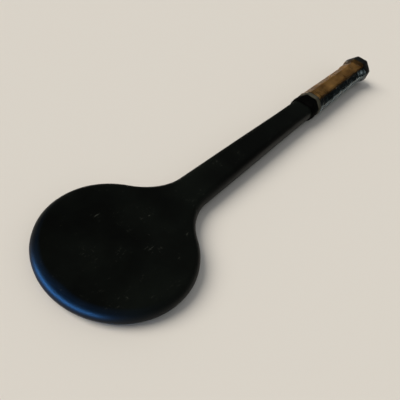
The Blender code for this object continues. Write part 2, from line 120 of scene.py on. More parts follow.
# Black lacquer sprayed thin on sanded beech: satin, with the pores and the spray's orange peel
# just showing, and rubbed places and hairline scuffs where things have struck it. The faces are
# duller than the rim: height over the blade's middle plane tells them apart.
lacquer = {
    "black": "#050605",
    "rubbed": "#0e120f",
    "scuffed": "#3b3e39",
    "ior": 1.45,
    "specular": 0.12,
    "roughness": (0.44, 0.56),
    "scuffsRougher": 0.2,
    "faceDuller": 0.24,
    "faceFromMm": (5.6, 6.8),
    "pores": {"sizeMm": 0.7, "detail": 2, "stretch": (22, 1, 1)},
    "poreDepthMm": 0.012,
    "peel": {"sizeMm": 1.6, "detail": 2},
    "peelDepthMm": 0.006,
    "rubbedPlaces": {"sizeMm": 55, "detail": 4, "between": (0.42, 0.72)},
    "scuffsAlong": {"sizeMm": 0.7, "detail": 2, "stretch": (9, 1, 1), "between": (0.67, 0.74)},
    "scuffsAcross": {"sizeMm": 0.7, "detail": 2, "stretch": (1, 6, 1), "between": (0.69, 0.76)},
    "struckPlaces": {"sizeMm": 14, "detail": 3, "between": (0.50, 0.64)},
}


def makeLacquer():
    made, tree, shader, place = startMaterial("black lacquered beech", ior=lacquer["ior"],
                                              specular=lacquer["specular"])
    pores, peel, rubbed, along, across, struck = [
        speckle(tree, place, **lacquer[pattern])
        for pattern in ("pores", "peel", "rubbedPlaces", "scuffsAlong", "scuffsAcross", "struckPlaces")]
    scuffs = addNode(tree, "Math", 0, {0: along, 1: across}, operation="MAXIMUM")
    scuffs = addNode(tree, "Math", 0, {0: scuffs, 1: struck}, operation="MULTIPLY")
    color = layered(tree, lacquer["black"], (rubbed, lacquer["rubbed"]), (scuffs, lacquer["scuffed"]))
    # the blade's own frame: z is the height over its middle plane
    own = addNode(tree, "Mapping", "Vector", {
        "Vector": place, "Location": lay["headCentre"],
        "Rotation": (0, -math.radians(lay["tiltDegrees"]), 0)}, vector_type="TEXTURE")
    height = addNode(tree, "SeparateXYZ", "Z", {"Vector": own})
    height = addNode(tree, "Math", 0, {0: height}, operation="ABSOLUTE")
    low, high = lacquer["roughness"]
    rough = addNode(tree, "MapRange", "Result", {"Value": rubbed, "To Min": low, "To Max": high})
    start, full = lacquer["faceFromMm"]
    for inputs in ({"Value": scuffs, "To Max": lacquer["scuffsRougher"]},
                   {"Value": height, "From Min": start * millimetre, "From Max": full * millimetre,
                    "To Max": lacquer["faceDuller"]}):
        more = addNode(tree, "MapRange", "Result", inputs)
        rough = addNode(tree, "Math", 0, {0: rough, 1: more}, operation="ADD")
    finishShader(tree, shader, {"Base Color": color, "Roughness": rough},
                 [(pores, lacquer["poreDepthMm"]), (peel, lacquer["peelDepthMm"])])
    return made


# Sanded beech and birch: pale pinkish brown, short darker flecks along the grain, no lacquer.
wood = {
    "roughness": 0.62,
    "ior": 1.45,
    "fleckStretch": 9,
    "fleckBetween": (0.52, 0.72),
    "fleckShare": 0.5,
    "fleckDepthMm": 0.03,
    "ringStretch": 30,
    "beech": {"pale": "#c99f78", "dark": "#a1764f", "fleckMm": 0.6, "ringMm": 3.5},
    "birch": {"pale": "#dcc096", "dark": "#b8945f", "fleckMm": 0.4, "ringMm": 1.8},
}


def makeWood(name, pale, dark, fleckMm, ringMm):
    made, tree, shader, place = startMaterial(name, wood["roughness"], wood["ior"])
    flecks = speckle(tree, place, fleckMm, 2, (wood["fleckStretch"], 1, 1), wood["fleckBetween"])
    rings = speckle(tree, place, ringMm, 3, (wood["ringStretch"], 1, 1))
    share = addNode(tree, "Math", 0, {0: flecks, 1: wood["fleckShare"]}, operation="MULTIPLY")
    color = layered(tree, pale, (rings, dark), (share, dark))
    finishShader(tree, shader, {"Base Color": color}, [(flecks, wood["fleckDepthMm"])])
    return made


# Moulded rubber: flat black, a fine spark-eroded grain off the mould, a little dust in it.
rubber = {
    "black": "#040404",
    "dusty": "#080808",
    "ior": 1.40,
    "specular": 0.03,
    "roughness": (0.76, 0.90),
    "grain": {"sizeMm": 0.45, "detail": 2},
    "grainDepthMm": 0.03,
    "dust": {"sizeMm": 7, "detail": 4, "between": (0.45, 0.75)},
}


def makeRubber():
    made, tree, shader, place = startMaterial("moulded black rubber", ior=rubber["ior"],
                                              specular=rubber["specular"])
    grain, dust = [speckle(tree, place, **rubber[pattern]) for pattern in ("grain", "dust")]
    color = layered(tree, rubber["black"], (dust, rubber["dusty"]))
    low, high = rubber["roughness"]
    rough = addNode(tree, "MapRange", "Result", {"Value": dust, "To Min": low, "To Max": high})
    finishShader(tree, shader, {"Base Color": color, "Roughness": rough},
                 [(grain, rubber["grainDepthMm"])])
    return made


# Glass-filled nylon, moulded: satin black with a fine even texture, polished where hands rub it.
nylon = {
    "rubbed": "#121110",
    "ior": 1.53,
    "specular": 0.14,
    "texture": {"sizeMm": 0.5, "detail": 2},
    "textureDepthMm": 0.02,
    "rubbedPlaces": {"sizeMm": 9, "detail": 3},
    "rubbedBetween": (0.3, 0.7),
    "polish": 0.08,
    "dulling": 0.1,
    "cap": {"black": "#090909", "roughness": 0.46},
    "door": {"black": "#0e0e0e", "roughness": 0.44},
}


def makeNylon(name, black, roughness):
    made, tree, shader, place = startMaterial(name, ior=nylon["ior"], specular=nylon["specular"])
    texture, rubbed = [speckle(tree, place, **nylon[pattern]) for pattern in ("texture", "rubbedPlaces")]
    color = layered(tree, black, (rubbed, nylon["rubbed"]))
    low, high = nylon["rubbedBetween"]
    rough = addNode(tree, "MapRange", "Result", {
        "Value": rubbed, "From Min": low, "From Max": high,
        "To Min": roughness - nylon["polish"], "To Max": roughness + nylon["dulling"]})
    finishShader(tree, shader, {"Base Color": color, "Roughness": rough},
                 [(texture, nylon["textureDepthMm"])])
    return made


# Polyurethane strip on felt: flat black, a leather grain of 0.6 mm, worn in patches.
gripSkin = {
    "black": "#0b0b0c",
    "worn": "#1d1814",
    "roughness": 0.6,
    "ior": 1.48,
    "specular": 0.08,
    "grainMm": 0.6,
    "grainEdge": 0.12,
    "grainDepthMm": 0.04,
    "wornPlaces": {"sizeMm": 11, "detail": 4, "between": (0.42, 0.7)},
}


def makeGripSkin():
    made, tree, shader, place = startMaterial("black polyurethane strip", gripSkin["roughness"],
                                              gripSkin["ior"], specular=gripSkin["specular"])
    scale = 1000 / gripSkin["grainMm"]
    cells = addNode(tree, "TexVoronoi", "Distance", {"Vector": place, "Scale": scale},
                    feature="DISTANCE_TO_EDGE")
    grain = addNode(tree, "MapRange", "Result", {"Value": cells, "From Max": gripSkin["grainEdge"]})
    worn = speckle(tree, place, **gripSkin["wornPlaces"])
    color = layered(tree, gripSkin["black"], (worn, gripSkin["worn"]))
    finishShader(tree, shader, {"Base Color": color}, [(grain, gripSkin["grainDepthMm"])])
    return made


# Soft vinyl tape, grey and a little glossy, stretched until fine lines run across it.
vinyl = {
    "grey": "#45443a",
    "grimy": "#302f29",
    "roughness": 0.55,
    "specular": 0.15,
    "lines": {"sizeMm": 0.5, "detail": 2, "stretch": (1, 5, 5)},
    "lineDepthMm": 0.02,
    "grime": {"sizeMm": 4, "detail": 4, "between": (0.4, 0.7)},
}


def makeVinyl():
    made, tree, shader, place = startMaterial("grey vinyl tape", vinyl["roughness"],
                                              specular=vinyl["specular"])
    lines, grime = [speckle(tree, place, **vinyl[pattern]) for pattern in ("lines", "grime")]
    color = layered(tree, vinyl["grey"], (grime, vinyl["grimy"]))
    finishShader(tree, shader, {"Base Color": color}, [(lines, vinyl["lineDepthMm"])])
    return made


# Aged polyethylene film: clear, with a mottled brown yellowing painted only round the side that faces the
# light, so that the shaded side stays clear and dark: partly the film's own tint, partly painted light
# and shade (the mark "litHaze"); and white over the strip's seams, on the flare's bevels and along its
# folds, as painted highlights (the mark "creaseHighlight"). Its IOR is under the real 1.5, because both
# walls of the skin reflect.
filmLook = {
    "brown": "#c29658",
    "darkBrown": "#946d3c",
    "clear": "#b4ccd2",
    # the white of the painted highlights by the seams, on the flare and on the folds
    "highlightWhite": "#b9cad2",
    "clearShare": 0.998,
    "litHazeShare": 0.71,
    "highlightClearShare": 0.52,
    "ior": 1.10,
    "specular": 0.30,
    "roughness": (0.08, 0.42),
    "fullBrownAt": 0.15,
    "mottle": {"sizeMm": 8, "detail": 0.5, "stretch": (1.6, 1, 1), "between": (0.3, 0.72),
               "shares": (0.55, 1.0)},
    "darkPlaces": {"sizeMm": 11, "detail": 1, "stretch": (1.8, 1, 1), "between": (0.36, 0.64)},
    "wrinkles": {"sizeMm": 2.2, "detail": 3, "stretch": (1.0, 2.2, 2.2)},
    "wrinkleDepthMm": 0.02,
}


def makeFilm():
    made, tree, shader, place = startMaterial("yellowed polyethylene film", ior=filmLook["ior"],
                                              specular=filmLook["specular"])
    # both marks carry painted light: the first is brown painted on the lit side and left off the shaded
    # side, painted light and shade over the film's own yellowing; the second is white painted where
    # highlights fall
    litHaze = addNode(tree, "Attribute", "Fac", attribute_name="litHaze")
    creaseHighlight = addNode(tree, "Attribute", "Fac", attribute_name="creaseHighlight")
    mottle, dark, wrinkles = [speckle(tree, place, **filmLook[pattern])
                              for pattern in ("mottle", "darkPlaces", "wrinkles")]
    litHazeMottled = addNode(tree, "Math", 0, {0: litHaze, 1: mottle}, operation="MULTIPLY")
    clear = addNode(tree, "MapRange", "Result", {
        "Value": litHazeMottled, "To Min": filmLook["clearShare"], "To Max": filmLook["litHazeShare"]})
    kept = addNode(tree, "MapRange", "Result", {
        "Value": creaseHighlight, "To Min": 1.0, "To Max": filmLook["highlightClearShare"]})
    clear = addNode(tree, "Math", 0, {0: clear, 1: kept}, operation="MULTIPLY")
    low, high = filmLook["roughness"]
    rough = addNode(tree, "MapRange", "Result", {"Value": litHazeMottled, "To Min": low, "To Max": high})
    # brown on the lit side over clear on the shaded side: painted light and shade over a real yellowing;
    # white where highlights are painted
    yellowedAndLit = addNode(tree, "MapRange", "Result", {"Value": litHaze, "From Max": filmLook["fullBrownAt"]})
    brown = layered(tree, filmLook["brown"], (dark, filmLook["darkBrown"]))
    color = layered(tree, filmLook["clear"], (yellowedAndLit, brown), (creaseHighlight, filmLook["highlightWhite"]))
    finishShader(tree, shader, {"Base Color": color, "Roughness": rough, "Transmission Weight": clear},
                 [(wrinkles, filmLook["wrinkleDepthMm"])])
    return made


# Zinc-plated and blued steel: smooth plating, dulled in small stains.
steel = {
    "yellowedAndLit": "#8d8c88",
    "stains": {"sizeMm": 1.2, "detail": 3},
    "stainBetween": (0.3, 0.7),
    "polish": 0.08,
    "dulling": 0.1,
    "zinc": {"tint": "#c9cbcd", "roughness": 0.30},
    "blued": {"tint": "#3b4050", "roughness": 0.34},
}


def makeSteel(name, tint, roughness):
    made, tree, shader, place = startMaterial(name, metallic=1.0)
    stains = speckle(tree, place, **steel["stains"])
    color = layered(tree, tint, (stains, steel["yellowedAndLit"]))
    low, high = steel["stainBetween"]
    rough = addNode(tree, "MapRange", "Result", {
        "Value": stains, "From Min": low, "From Max": high,
        "To Min": roughness - steel["polish"], "To Max": roughness + steel["dulling"]})
    finishShader(tree, shader, {"Base Color": color, "Roughness": rough})
    return made


materials = {
    "lacquer": makeLacquer(),
    "beech": makeWood("sanded beech", **wood["beech"]),
    "birch": makeWood("birch dowel", **wood["birch"]),
    "rubber": makeRubber(),
    "nylon": makeNylon("moulded nylon", **nylon["cap"]),
    "door": makeNylon("moulded nylon door", **nylon["door"]),
    "strip": makeGripSkin(),
    "vinyl": makeVinyl(),
    "film": makeFilm(),
    "zinc": makeSteel("zinc plated steel", **steel["zinc"]),
    "blued": makeSteel("blued steel", **steel["blued"]),
}
print("materials made:", len(materials))

# What each solid piece is finished with, and how its loose triangles are joined and shaded.
finishes = {
    "blade": "lacquer", "handle_cheek_upper": "beech", "handle_cheek_lower": "beech",
    "dowel_1": "birch", "dowel_2": "birch", "butt_cap": "nylon", "butt_door": "door",
    "butt_screw_left": "zinc", "butt_screw_right": "zinc", "grip_wrap": "strip",
    "grip_tack": "blued", "finishing_tape": "vinyl", "rubber_collar": "rubber", "film_sleeve": "film",
}
shading = {
    "weldMm": 0.002,
    "splitDegrees": 32,
    "flatWeight": 100,
    "sharpDegrees": 50,
}
for name, finish in finishes.items():
    nodes[name].data.materials.clear()
    nodes[name].data.materials.append(materials[finish])
    nodes[name].data.shade_smooth()
    weld = nodes[name].modifiers.new("join the loose triangles", "WELD")
    weld.merge_threshold = shading["weldMm"] * millimetre
    split = nodes[name].modifiers.new("keep the edges crisp", "EDGE_SPLIT")
    split.split_angle = math.radians(shading["splitDegrees"])
    split.use_edge_sharp = False
    weighted = nodes[name].modifiers.new("keep flat faces flat", "WEIGHTED_NORMAL")
    weighted.weight = shading["flatWeight"]
print("nodes finished:", len(finishes))


def laidDown(points):
    # turned about y by the tilt, so that +x rises, and moved to the head's centre
    tilt = math.radians(lay["tiltDegrees"])
    x, y, z = points[..., 0], points[..., 1], points[..., 2]
    turned = np.stack([x * math.cos(tilt) - z * math.sin(tilt), y,
                       x * math.sin(tilt) + z * math.cos(tilt)], axis=-1)
    return turned + np.array(lay["headCentre"])


def gridMesh(name, points, ring, sharpDegrees=shading["sharpDegrees"]):
    # rows of points joined to the next row and round to themselves; the rows close into a ring,
    # or the first and last are capped; faces are turned if the volume comes out negative
    rows, around = points.shape[:2]
    laid = laidDown(points).reshape(-1, 3)
    index = np.arange(rows * around).reshape(rows, around)
    following = np.roll(index, -1, axis=0)
    quads = np.stack([index, np.roll(index, -1, axis=1),
                      np.roll(following, -1, axis=1), following], axis=-1)
    quads = (quads if ring else quads[:-1]).reshape(-1, 4)
    a, b, c, d = (laid[quads[:, k]] for k in range(4))
    volume = np.einsum("ij,ij->i", a, np.cross(b, c) + np.cross(c, d)).sum()
    caps = [] if ring else [index[0][::-1], index[-1]]
    for cap in caps:
        fan = np.cross(laid[cap], np.roll(laid[cap], -1, axis=0)).sum(axis=0)
        volume += laid[cap].mean(axis=0) @ fan
    if volume < 0:
        quads, caps = quads[:, ::-1], [cap[::-1] for cap in caps]
    mesh = bpy.data.meshes.new(name)
    mesh.from_pydata(laid.tolist(), [], quads.tolist() + [cap.tolist() for cap in caps])
    mesh.shade_smooth()
    mesh.set_sharp_from_angle(angle=math.radians(sharpDegrees))
    print(f"{name}: {len(quads) * 2} triangles, {'ring' if ring else 'capped'}")
    return mesh


def placePiece(mesh, material, replaced, body="racket", marks={}):
    # marks are numbers at each point that the material reads as attributes
    mesh.materials.append(materials[material])
    for markName, values in marks.items():
        mark = mesh.attributes.new(markName, "FLOAT", "POINT")
        mark.data.foreach_set("value", values.astype(np.float32).ravel())
    made = bpy.data.objects.new(mesh.name, mesh)
    bpy.context.scene.collection.objects.link(made)
    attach(made, body)
    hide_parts(replaced)
    return made


def octagonFrame(width, thickness, chamfer, corner, arcSteps=4, sideSteps=6):
    # per row: the centre of curvature and the outward angle of each point round a rounded octagon.
    # A point lies at centre + (corner + grow) * (cos angle, sin angle): on an arc the angle turns
    # by 45 degrees about one centre, and on a side the centre moves while the angle stays.
    side, top = width / 2 - corner, thickness / 2 - corner
    drawIn = chamfer + corner * (math.sqrt(2) - 1)
    near, far = (side, thickness / 2 - drawIn), (width / 2 - drawIn, top)
    signs = [(1, 1), (1, 1), (-1, 1), (-1, 1), (-1, -1), (-1, -1), (1, -1), (1, -1)]
    order = [near, far, far, near, near, far, far, near]
    centreY = np.stack([s[0] * c[0] for s, c in zip(signs, order)], axis=-1)
    centreZ = np.stack([s[1] * c[1] for s, c in zip(signs, order)], axis=-1)
    turn = np.repeat(np.arange(8), arcSteps + sideSteps)
    step = np.tile(np.arange(arcSteps + sideSteps), 8)
    angle = math.pi / 4 * (turn + np.minimum(step / arcSteps, 1))
    along = np.clip((step - arcSteps) / sideSteps, 0, 1)
    following = (turn + 1) % 8
    y = centreY[..., turn] + (centreY[..., following] - centreY[..., turn]) * along
    z = centreZ[..., turn] + (centreZ[..., following] - centreZ[..., turn]) * along
    return y, z, angle


def octagonPoints(x, centreY, centreZ, angle, radius):
    # centre of curvature + radius * (cos angle, sin angle), at x along the racket
    y, z = centreY + radius * np.cos(angle), centreZ + radius * np.sin(angle)
    return np.stack(np.broadcast_arrays(x, y, z), axis=-1)


def perimeterShare(y, z):
    # how much of the way round lies before each point
    steps = np.hypot(np.roll(y, -1) - y, np.roll(z, -1) - z)
    return np.concatenate([[0], np.cumsum(steps)[:-1]]) / steps.sum()


def smoothStep(value):
    # 0 up to 0, 1 from 1 on, and 3 v^2 - 2 v^3 between
    value = np.clip(value, 0, 1)
    return value * value * (3 - 2 * value)


def wave(turns):
    # a sine that repeats after each whole turn
    return np.sin(fullTurn * turns)


def hump(distance, width):
    # 1 in the middle, falling as exp(-(distance / width) squared)
    return np.exp(-(distance / width) ** 2)


# The strip is wound from the butt cap towards the head, one turn to each pitch.
strip = {
    "inner": 0.0003,
    "thickness": 0.0013,
    "pitch": 0.022,
    "seam": 0.0005,
    "edge": 0.0007,
    "edgeDrop": 0.00056,
    "crown": 0.00012,
    "tip": 0.003,
    "topX": 0.3306,
    "buttX": 0.4774,
    "acrossSteps": 14,
    "steepest": 0.999,
    "pocket": {
        "fromButt": 0.007,
        "floor": 0.0003,
        "radius": 0.0033,
        "over": 0.0020,
        "boreRadius": 0.0011,
        "boreDepth": 0.0012,
        "steps": 40,
    },
}


def makeStrip():
    # a helix round the octagon: at turn t the strip covers pitch * (t - 1) to pitch * t along the
    # handle, and its height over the wood is thickness less a quarter round at both edges
    centreY, centreZ, angle = octagonFrame(**handle["wood"])
    corner = handle["wood"]["corner"]
    outer = corner + strip["inner"] + strip["thickness"]
    share = perimeterShare(centreY + outer * np.cos(angle), centreZ + outer * np.sin(angle))
    length = strip["buttX"] - strip["topX"]
    turnCount = math.ceil(length / strip["pitch"]) + 2
    turn = (np.arange(turnCount)[:, None] + share).ravel()
    place = np.tile(np.arange(len(share)), turnCount)
    first = (strip["tip"] + strip["seam"]) / strip["pitch"]
    last = (length - strip["tip"]) / strip["pitch"] + 1
    kept = (turn >= first) & (turn <= last)
    turn, place = turn[kept, None], place[kept, None]
    low = np.maximum(0, strip["pitch"] * (turn - 1))
    high = np.minimum(length, strip["pitch"] * turn - strip["seam"])
    across = (1 - np.cos(math.pi * np.linspace(0, 1, strip["acrossSteps"]))) / 2
    along = low + (high - low) * across
    fromEdge = np.minimum(along - low, high - along)
    # the quarter round stops just short of upright at the very edge
    rounded = 1 - np.sqrt(1 - (1 - np.clip(fromEdge / strip["edge"], 0, 1)) ** 2 * strip["steepest"])
    top = strip["inner"] + strip["thickness"] - strip["edgeDrop"] * rounded
    top -= strip["crown"] * (1 - np.sin(math.pi * across))
    alongUnder = high + (low - high) * across
    grow = np.concatenate([top, np.full_like(top, strip["inner"])], axis=1)
    x = strip["buttX"] - np.concatenate([along, alongUnder], axis=1)
    points = octagonPoints(x, centreY[place], centreZ[place], angle[place], corner + grow)
    return placePiece(gridMesh("grip_strip", points, False), "strip", "grip_wrap")


def cutPocket(piece):
    # the pocket in the strip's first turn, in which the tack's head is sunk, cut by a turned shape:
    # each ring is a height over the pocket's floor and a radius, about an axis along y
    pocket = strip["pocket"]
    floorY = handle["wood"]["width"] / 2 + strip["inner"] + pocket["floor"]
    profile = [(-pocket["boreDepth"], pocket["boreRadius"]), (0, pocket["boreRadius"]),
               (0, pocket["radius"]), (pocket["over"], pocket["radius"])]
    height, radius = np.array(profile).T[..., None]
    bearing = fullTurn * (np.arange(pocket["steps"]) + 0.5) / pocket["steps"]
    x = strip["buttX"] - pocket["fromButt"] + radius * np.cos(bearing)
    rings = np.stack(np.broadcast_arrays(x, floorY + height, radius * np.sin(bearing)), axis=-1)
    cutter = bpy.data.objects.new("pocket cutter", gridMesh("pocket cutter", rings, False))
    bpy.context.scene.collection.objects.link(cutter)
    cut = piece.modifiers.new("pocket for the tack", "BOOLEAN")
    cut.object = cutter
    cut.operation = "DIFFERENCE"
    cut.solver = "EXACT"
    evaluated = piece.evaluated_get(bpy.context.evaluated_depsgraph_get())
    whole, piece.data = piece.data, bpy.data.meshes.new_from_object(evaluated)
    piece.modifiers.clear()
    piece.data.name = whole.name
    piece.data.set_sharp_from_angle(angle=math.radians(shading["sharpDegrees"]))
    bpy.data.meshes.remove(whole)
    bpy.data.objects.remove(cutter)
    print("pocket cut:", len(piece.data.polygons), "faces")


cutPocket(makeStrip())


# The tape holds the strip's end: stepped down on to the wood, its own end lapped over it.
tape = {
    "thickness": 0.0002,
    "frontX": 0.3246,
    "stepX": 0.3289,
    "stepLength": 0.0012,
    "rearX": 0.3381,
    "onWood": 0.0003,
    "onStrip": 0.0019,
    "lapShare": 0.42,
    "lapSlant": 0.9,
    "lapHeight": 0.00014,
    "lapFades": (0.012, 0.02),
    "ripple": 0.00005,
    "ripplesRound": 3,
    "ripplePitch": 0.0061,
    "rows": 44,
    "arcSteps": 6,
    "sideSteps": 10,
}


def makeTape():
    # a ring of two skins: height over the wood follows the step, the outer skin adds the thickness,
    # the lap and a slow ripple
    corner = handle["wood"]["corner"]
    centreY, centreZ, angle = octagonFrame(**handle["wood"], arcSteps=tape["arcSteps"],
                                           sideSteps=tape["sideSteps"])
    x = np.linspace(tape["frontX"], tape["rearX"], tape["rows"])[:, None]
    step = smoothStep((x - tape["stepX"]) / tape["stepLength"])
    under = tape["onWood"] + (tape["onStrip"] - tape["onWood"]) * step
    share = perimeterShare(centreY, centreZ)
    lapEnd = tape["lapShare"] + tape["lapSlant"] * (x - tape["frontX"])
    endFade, startFade = tape["lapFades"]
    lap = tape["lapHeight"] * smoothStep((lapEnd - share) / endFade) * smoothStep(share / startFade)
    ripple = tape["ripple"] * (1 + wave(tape["ripplesRound"] * share + x / tape["ripplePitch"]))
    outerRadius = corner + under + tape["thickness"] + lap + ripple
    outer = octagonPoints(x, centreY, centreZ, angle, outerRadius)
    inner = octagonPoints(x, centreY, centreZ, angle, corner + under)
    mesh = gridMesh("vinyl_tape", np.concatenate([outer, inner[::-1]]), True)
    return placePiece(mesh, "vinyl", "finishing_tape")


makeTape()


# The collar is snug on the shaft and swells over the top of the handle.
collar = {
    "frontX": 0.309,
    "length": 0.020,
    "width": 0.0288,
    "frontThickness": 0.0186,
    "rearThickness": 0.0251,
    "frontChamfer": 0.00477,
    "rearChamfer": 0.0080,
    "corner": 0.0040,
    "rampX": 0.312,
    "rampLength": 0.010,
    "wall": 0.0012,
    "lip": 0.0004,
    "lipRounding": 0.0004,
    "lipLeast": 0.25,
    "fullest": 0.010,
    "bead": 0.00018,
    "beadFromLip": 0.0008,
    "beadWidth": 0.0005,
    "rows": 90,
    "innerEvery": 6,
    "arcSteps": 8,
    "sideSteps": 8,
}


def makeCollar():
    # the bore follows the shaft and the ramp; the wall grows from each lip to the fullest place as
    # a smooth step, with a small bead at both lips where the mould parts; the lips are rounded as
    # the square root of the distance from them
    x = np.linspace(collar["frontX"], collar["frontX"] + collar["length"], collar["rows"])
    share = np.clip((x - collar["rampX"]) / collar["rampLength"], 0, 1)
    thickness = collar["frontThickness"] + (collar["rearThickness"] - collar["frontThickness"]) * share
    chamfer = collar["frontChamfer"] + (collar["rearChamfer"] - collar["frontChamfer"]) * share
    width = np.full_like(x, collar["width"])
    centreY, centreZ, angle = octagonFrame(width, thickness, chamfer, collar["corner"],
                                           collar["arcSteps"], collar["sideSteps"])
    beyond = x - collar["frontX"] - collar["fullest"]
    reach = np.where(beyond < 0, collar["fullest"], collar["length"] - collar["fullest"])
    wall = collar["lip"] + (collar["wall"] - collar["lip"]) * smoothStep(1 - np.abs(beyond) / reach)
    fromLip = np.minimum(x - x[0], x[-1] - x)
    wall += collar["bead"] * hump(fromLip - collar["beadFromLip"], collar["beadWidth"])
    wall *= np.sqrt(np.clip(fromLip / collar["lipRounding"], collar["lipLeast"], 1))
    outer = octagonPoints(x[:, None], centreY, centreZ, angle, collar["corner"] + wall[:, None])
    inner = octagonPoints(x[:, None], centreY, centreZ, angle, collar["corner"])
    mesh = gridMesh("collar_sleeve", np.concatenate([outer, inner[::-collar["innerEvery"]]]), True)
    return placePiece(mesh, "rubber", "rubber_collar", "collar")


makeCollar()


# Clear film pulled over grip and flare: it drapes into the seams, stands off where the flare
# starts and is crumpled into long slanted folds.
film = {
    "frontX": 0.3358,
    "rearX": 0.4987,
    "thickness": 0.00012,
    "clear": 0.00015,
    "overTape": 0.00060,
    "behindTape": 0.002,
    "tapeStep": 0.0016,
    "bulge": 0.0012,
    "bulgeLength": 0.022,
    "bulgeLeast": 0.25,
    "flareLength": 0.030,
    "flareWidth": 0.0382,
    "flareThickness": 0.0350,
    "flareChamfer": 0.0115,
    "flareCorner": 0.0030,
    "capFade": 0.004,
    "seamDip": 0.00011,
    "seamWidth": 0.0012,
    "foldHeight": 0.00084,
    "foldLeast": 0.15,
    "foldFades": {"rear": 0.012, "front": 0.004, "frontLead": 0.002},
    "pressedFlat": 0.9,
    "folds": ((2, 9, 1.0), (-3, 13, 0.8), (4, 6, 0.55), (1, 4.2, 0.5), (-6, 7, 0.35)),
    "foldWander": ((0.35, 0.031, 1), (0.2, 0.012, -2)),
    "foldPatches": (0.55, 0.45, 0.047, 2),
    "foldSharpness": 2.2,
    "rows": 330,
    "arcSteps": 5,
    "sideSteps": 13,
    "seed": 7,
    # where the brown is painted: round the side towards the light, as painted light and shade
    "litHaze": {
        "bearingDegrees": 63,
        "least": 0.34,
        "fade": 0.30,
        "gather": 0.012,
        # share of the brown lost in slanted stripes of painted shade where the film is gathered
        "shadeStripeLoss": 0.65,
        "shadeStripes": (0.5, 0.5, 0.0045, 3),
        "endX": 0.4925,
        "endBow": 0.006,
        "endFade": 0.009,
        "onCap": 0.25,
    },
    # where the white of painted highlights is put: by the seams, on the flare's bevels and on the fold
    # tops
    "creaseHighlight": {
        "fromSeam": 0.0013,
        "seamWidth": 0.0015,
        "height": 0.0027,
        "heightWidth": 0.0029,
        "seamPatches": (0.72, 0.28, 0.037, 3),
        "flareHeight": 0.0085,
        "flareHeightWidth": 0.0017,
        "flareShare": 0.8,
        "flarePatches": (0.6, 0.4, 0.013, 2),
        "foldFrom": 0.70,
        "foldFade": 0.2,
        "foldShare": 0.12,
        "lostInLitHaze": 0.9,
    },
}


def flareAt(x):
    # width, thickness, bevel and corner of the grip's outside, blended by a smooth step into the flare
    share = smoothStep((x - handle["capFrontX"]) / film["flareLength"])
    grown = strip["inner"] + strip["thickness"]
    bare = handle["wood"]
    straight = (bare["width"] + 2 * grown, bare["thickness"] + 2 * grown,
                bare["chamfer"] + (2 - math.sqrt(2)) * grown, bare["corner"] + grown)
    flared = (film["flareWidth"], film["flareThickness"], film["flareChamfer"], film["flareCorner"])
    return [a + (b - a) * share for a, b in zip(straight, flared)]


def patchy(patches, x, share, shift=0.0):
    # level + swing * sine, slantwise: a turn to each pitch along x and turnsRound turns round the handle
    level, swing, pitch, turnsRound = patches
    return level + swing * wave(x / pitch + turnsRound * share + shift)


def foldHeights(x, share):
    # sharp folds: each term is 1 - |2 * frac(q) - 1| with q running slantwise round the handle, so
    # it wraps after a whole number of folds, and slow sines bend the lines; a term is given by its
    # folds round the handle, its pitch in millimetres and its weight, and a bend by its swing, its
    # pitch in metres and its turns round the handle
    random = np.random.default_rng(film["seed"])
    total = np.zeros(np.broadcast(x, share).shape)
    for turnsRound, pitchMm, weight in film["folds"]:
        wander = sum(swing * wave(x / pitch + turns * share + random.random())
                     for swing, pitch, turns in film["foldWander"])
        q = x / (pitchMm * millimetre) + turnsRound * share + wander + random.random()
        ridge = 1 - np.abs(2 * (q - np.floor(q)) - 1)
        patch = patchy(film["foldPatches"], x, share, random.random())
        total += weight * patch * ridge ** film["foldSharpness"]
    return total / sum(weight for _, _, weight in film["folds"])


def litHazeMark(x, angle, share, outer):
    # brown painted only round the side that faces the light, so that the shaded side stays clear and
    # dark: painted light and shade over the film's own yellowing; a smooth step of the cosine of the
    # bearing from that side, less slanted stripes of painted shade where the film is gathered, and fading
    # past a bowed line on the cap
    look = film["litHaze"]
    bearing = np.arctan2(outer[..., 2], outer[..., 1])
    towardLight = np.cos(bearing - math.radians(look["bearingDegrees"]))
    mark = smoothStep((towardLight - look["least"]) / look["fade"])
    gathered = hump(x - film["frontX"], look["gather"])
    mark = mark * (1 - look["shadeStripeLoss"] * gathered * patchy(look["shadeStripes"], x, share))
    ending = smoothStep((look["endX"] - look["endBow"] * np.cos(angle) - x) / look["endFade"])
    return mark * (look["onCap"] + (1 - look["onCap"]) * ending)


def creaseHighlightMark(x, share, outer, fromSeam, onGrip, folds, litHaze):
    # painted highlights: white beside the seams half-way up the sides, on the bevels of the flare and on
    # the tops
    # of the folds: the sum of two patchy humps and a smooth step, at most 1 and lost in the painted brown
    # of the lit side
    look = film["creaseHighlight"]
    height = np.abs(outer[..., 2])
    alongSeam = onGrip * hump(fromSeam - look["fromSeam"], look["seamWidth"])
    alongSeam = alongSeam * hump(height - look["height"], look["heightWidth"])
    onFlare = (1 - onGrip) * hump(height - look["flareHeight"], look["flareHeightWidth"])
    onFlare = look["flareShare"] * onFlare * patchy(look["flarePatches"], x, share)
    onFold = look["foldShare"] * smoothStep((folds - look["foldFrom"]) / look["foldFade"])
    mark = np.clip(alongSeam * patchy(look["seamPatches"], x, share) + onFlare + onFold, 0, 1)
    return mark * (1 - look["lostInLitHaze"] * litHaze)


